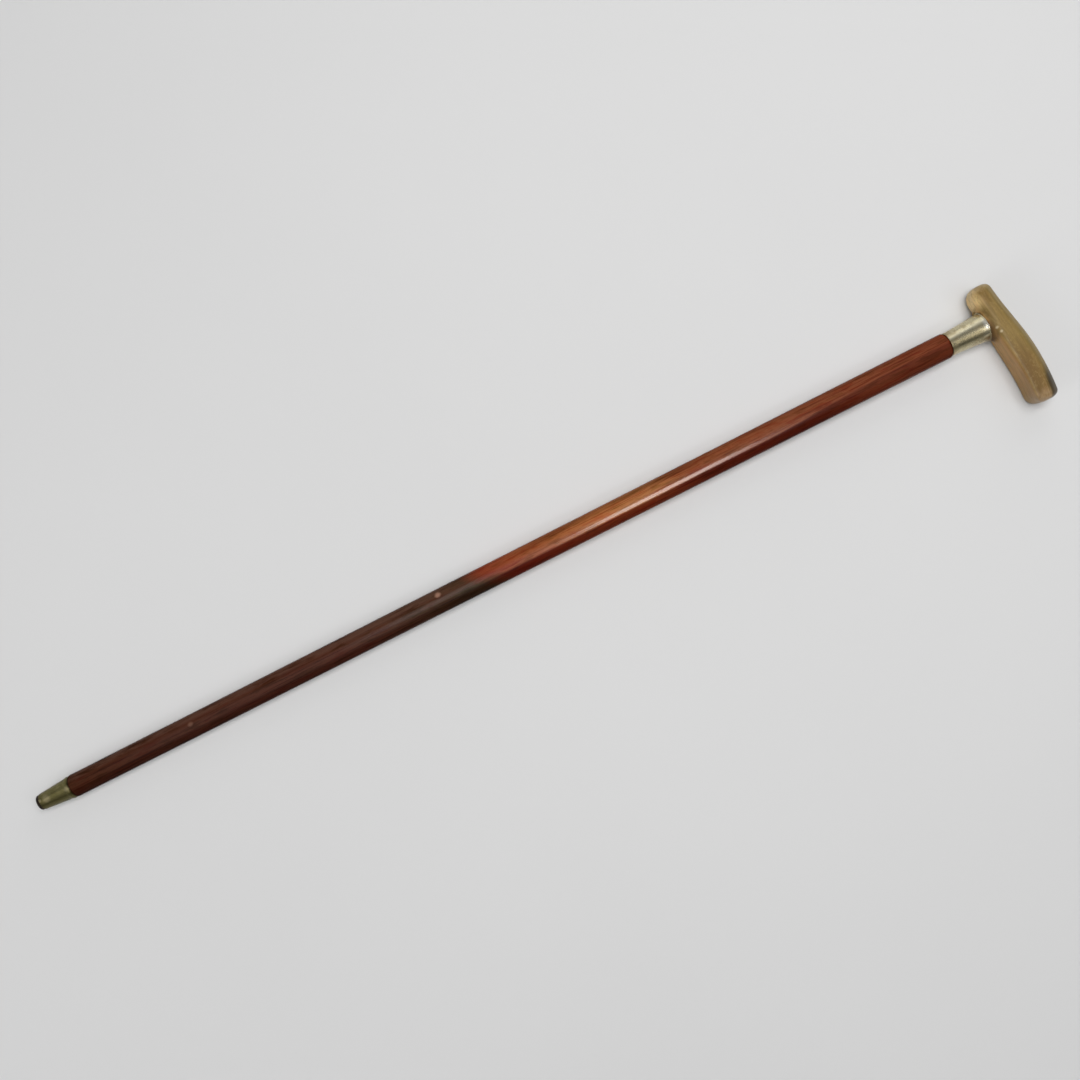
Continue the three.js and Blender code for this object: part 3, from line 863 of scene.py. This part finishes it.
def aged_brass():
    """Olive brass gone dull, a little brighter in rubbed patches, with three painted highlights on top. It
    is browner at both ends and has painted shade down both sides."""
    f = Finish(bpy.data.materials.new("aged_brass"))
    place = u, v, w = f.stick()
    patch = f.grain(place, (0.16, 0.16, 0.16), detail=4.0)
    lines = f.grain(place, (4.0, 0.6, 0.6), detail=2.0, rough=0.5)
    rubbed_and_sheen = f.step(patch, 0.46, 0.72) * 0.6
    turn = f.math("ARCTAN2", v, w)
    # Three painted highlights on top
    spots = [
        (f.spot(place, centre, radius, radius * 0.3, (patch - 0.5) * 3.0) * 0.6, (206, 192, 148))
        for centre, radius in BRASS_GLINTS
    ]
    tone = f.layered(f.mix(rubbed_and_sheen, colour(138, 130, 84), colour(164, 154, 108)), [
        (f.step(u, FERRULE_END - 1.6, FERRULE_END - 0.2) * 0.8, (60, 48, 28)),
        (f.step(u, FERRULE_START + 4.0, FERRULE_START) * 0.5, (76, 62, 40)),
        *spots,
        # Painted shade down both sides
        (f.step(turn, 0.4, 0.8) * 0.55 + f.step(turn, 1.6, 2.6) * 0.25, (82, 76, 44)),
        (f.step(turn, -0.2, -0.5) * 0.8, (82, 76, 44)),
    ])
    return f.ended(f.surface({
        "Base Color": tone,
        "Metallic": 1.0,
        "Roughness": 0.42 - rubbed_and_sheen * 0.08 + (lines - 0.5) * 0.1,
        "Normal": f.bump(lines * 0.015 + patch * 0.05, 0.4),
    }))


def worn_iron():
    """Dark iron, scratched bright on the end that meets the ground."""
    f = Finish(bpy.data.materials.new("worn_iron"))
    place = f.stick()
    grit = f.grain(place, (0.9, 0.9, 0.9), detail=5.0, rough=0.7)
    scratch = f.grain(place, (0.4, 0.5, 5.0), warp=0.6)
    bright = f.step(scratch, 0.55, 0.68) * f.step(place[0], 0.9, 0.2)
    dark = f.mix(grit, colour(38, 34, 30), colour(70, 58, 48))
    return f.ended(f.surface({
        "Base Color": f.layered(dark, [(bright, (150, 144, 134))]),
        "Metallic": 0.85,
        "Roughness": 0.55 - bright * 0.2 + (grit - 0.5) * 0.2,
        "Normal": f.bump(grit * 0.2 - bright * 0.05, 0.5),
    }))


def stud_steel():
    """Plain drawn steel with fine rings."""
    f = Finish(bpy.data.materials.new("stud_steel"))
    rings = f.grain(f.stick(), (3.0, 0.2, 0.2), detail=2.0, rough=0.5)
    return f.ended(f.surface({
        "Base Color": f.mix(rings, colour(128, 128, 126), colour(160, 160, 158)),
        "Metallic": 1.0,
        "Roughness": 0.3 + rings * 0.15,
        "Normal": f.bump(rings * 0.02, 0.5),
    }))


# The room's light: the backdrop's, as the camera, shine and glass see it, the walls' and the ceiling's.
# The walls pass into the ceiling and into the backdrop between these heights of the direction looked in.
BACKDROP = (0.97, 0.985, 1.0, 1.0)
BACKDROP_GLOW = 0.68
WALL_GLOW = 0.08
CEILING_GLOW = 0.25
TO_CEILING = (0.35, 0.95)
TO_BACKDROP = (0.45, 0.22)

# The floor passes into the backdrop between these distances from its middle, in metres
FLOOR_FADES = (0.9, 1.9)


def pale_floor():
    """Matt pale grey floor, faintly uneven, that passes into the pale backdrop far from the stick."""
    f = Finish(bpy.data.materials.new("pale_floor"))
    place = f.node("ShaderNodeTexCoord", output="Object")
    x, y, _ = f.split(place)
    cloud = f.noise(place, scale=2.2, detail=4.0, rough=0.5)
    tone = f.mix(cloud, colour(214, 214, 214), colour(220, 220, 220))
    matt = f.surface({"Base Color": tone, "Roughness": 0.85})
    backdrop = f.node("ShaderNodeEmission", (), {"Color": BACKDROP, "Strength": BACKDROP_GLOW})
    far = f.step(f.distance(x, y), *FLOOR_FADES) * f.seen()
    return f.ended(f.node("ShaderNodeMixShader", (), {0: far, 1: matt, 2: backdrop}))


def plain_room(world):
    """The room: its ceiling is brighter than its walls, and the pale backdrop shows low down."""
    f = Finish(world)
    height = f.split(f.node("ShaderNodeTexCoord", output="Generated"))[2]
    strength = f.step(height, *TO_CEILING) * (CEILING_GLOW - WALL_GLOW) + WALL_GLOW
    strength = strength + f.step(height, *TO_BACKDROP) * f.seen() * (BACKDROP_GLOW - WALL_GLOW)
    glow = f.node("ShaderNodeBackground", (), {"Color": BACKDROP, "Strength": strength})
    return f.ended(glow, "ShaderNodeOutputWorld")


# Pieces

piece("tip", [tip_shell()], worn_iron(), "ferrule_tip")
piece("brass_ferrule", [ferrule_shell()], aged_brass(), "ferrule")
piece("wooden_shaft", [shaft_shell()], varnished_wood(), "shaft")
piece("trumpet_collar", [collar_shell()], plated_collar(), "collar")
piece("handle", [handle_shell(), neck_plug()], horn(), "horn_handle", crease=60.0)
stud = frame["nodes"]["handle_stud"]
stud.material_slots[0].material = stud_steel()

# Floor, lamps, room and camera, placed in the frame itself, in metres


def lamp(name, place, aim, width, length, glow, shown="both", tint=(1.0, 1.0, 1.0)):
    """A soft rectangular lamp that faces a point, its length along the stick. Its power follows from
    its area and from the glow, its brightness seen from the stick. It lights the matt surfaces, shows
    in the shiny ones, or does both."""
    data = bpy.data.lights.new(name, "AREA")
    data.shape, data.size, data.size_y = "RECTANGLE", length, width
    data.energy, data.color = glow * math.pi * length * width, tint
    back = (Vector(place) - Vector(aim)).normalized()
    side = Vector((1, 0, 0)) - back * back.x
    side.normalize()
    turn = Matrix((side, back.cross(side), back)).transposed()
    made = linked(name, data)
    made.matrix_world = Matrix.Translation(place) @ turn.to_4x4()
    made.visible_camera = False
    made.visible_glossy, made.visible_diffuse = shown != "matt", shown != "shine"


# Half the floor's width, in metres
FLOOR_HALF = 20.0
floor_corners = [(x * FLOOR_HALF, y * FLOOR_HALF, 0) for x, y in ((-1, -1), (1, -1), (1, 1), (-1, 1))]
meshed("floor", floor_corners, [(0, 1, 2, 3)], pale_floor())

lamp(
    "ceiling", (0.46, 0.26, 2.2), aim=(0.28, 0.0, 0.0), width=1.1, length=1.5, glow=7.0, shown="matt",
    tint=(1.0, 0.995, 0.99),
)
lamp("low_lamp", (-1.7, -0.25, 0.95), aim=(0.35, 0.0, 0.0), width=0.9, length=0.9, glow=3.2, shown="matt")
lamp("window", (1.3, 1.6, 0.95), aim=(0.3, 0.0, 0.0), width=1.3, length=1.9, glow=1.0)
lamp("far_lamp", (1.6, -1.1, 2.0), aim=(0.4, 0.0, 0.0), width=0.5, length=0.5, glow=6.0, shown="matt")
lamp(
    "strip", (0.353, -0.64, 2.1), aim=(0.12, 0.0, 0.0), width=1.1, length=0.44, glow=11.8, shown="shine",
    tint=(1.0, 0.97, 0.95),
)
lamp(
    "dim_strip", (-0.35, 0.3, 2.1), aim=(-0.1, 0.0, 0.0), width=1.6, length=0.35, glow=0.9, shown="shine",
)
lamp(
    "foot_light", (-1.92, 0.4, 2.1), aim=(-0.44, 0.0, 0.0), width=1.4, length=0.7, glow=0.75, shown="shine",
)

bpy.context.scene.world = plain_room(bpy.data.worlds.new("room"))

# The camera looks straight down. Its turn, in degrees, lays the stick slantwise as in the photograph,
# and its sensor and lens are in millimetres.
CAMERA_PLACE = (0.01572, 0.03029, 0.95386)
CAMERA_TURN = -26.79
SENSOR_WIDTH = 36.0
LENS = 38.333

eye = bpy.data.cameras.new("camera")
eye.sensor_width, eye.lens = SENSOR_WIDTH, LENS
camera = linked("camera", eye)
camera.location = CAMERA_PLACE
camera.rotation_euler = (0.0, 0.0, math.radians(CAMERA_TURN))
bpy.context.scene.camera = camera
bpy.context.scene.view_settings.view_transform = "Standard"
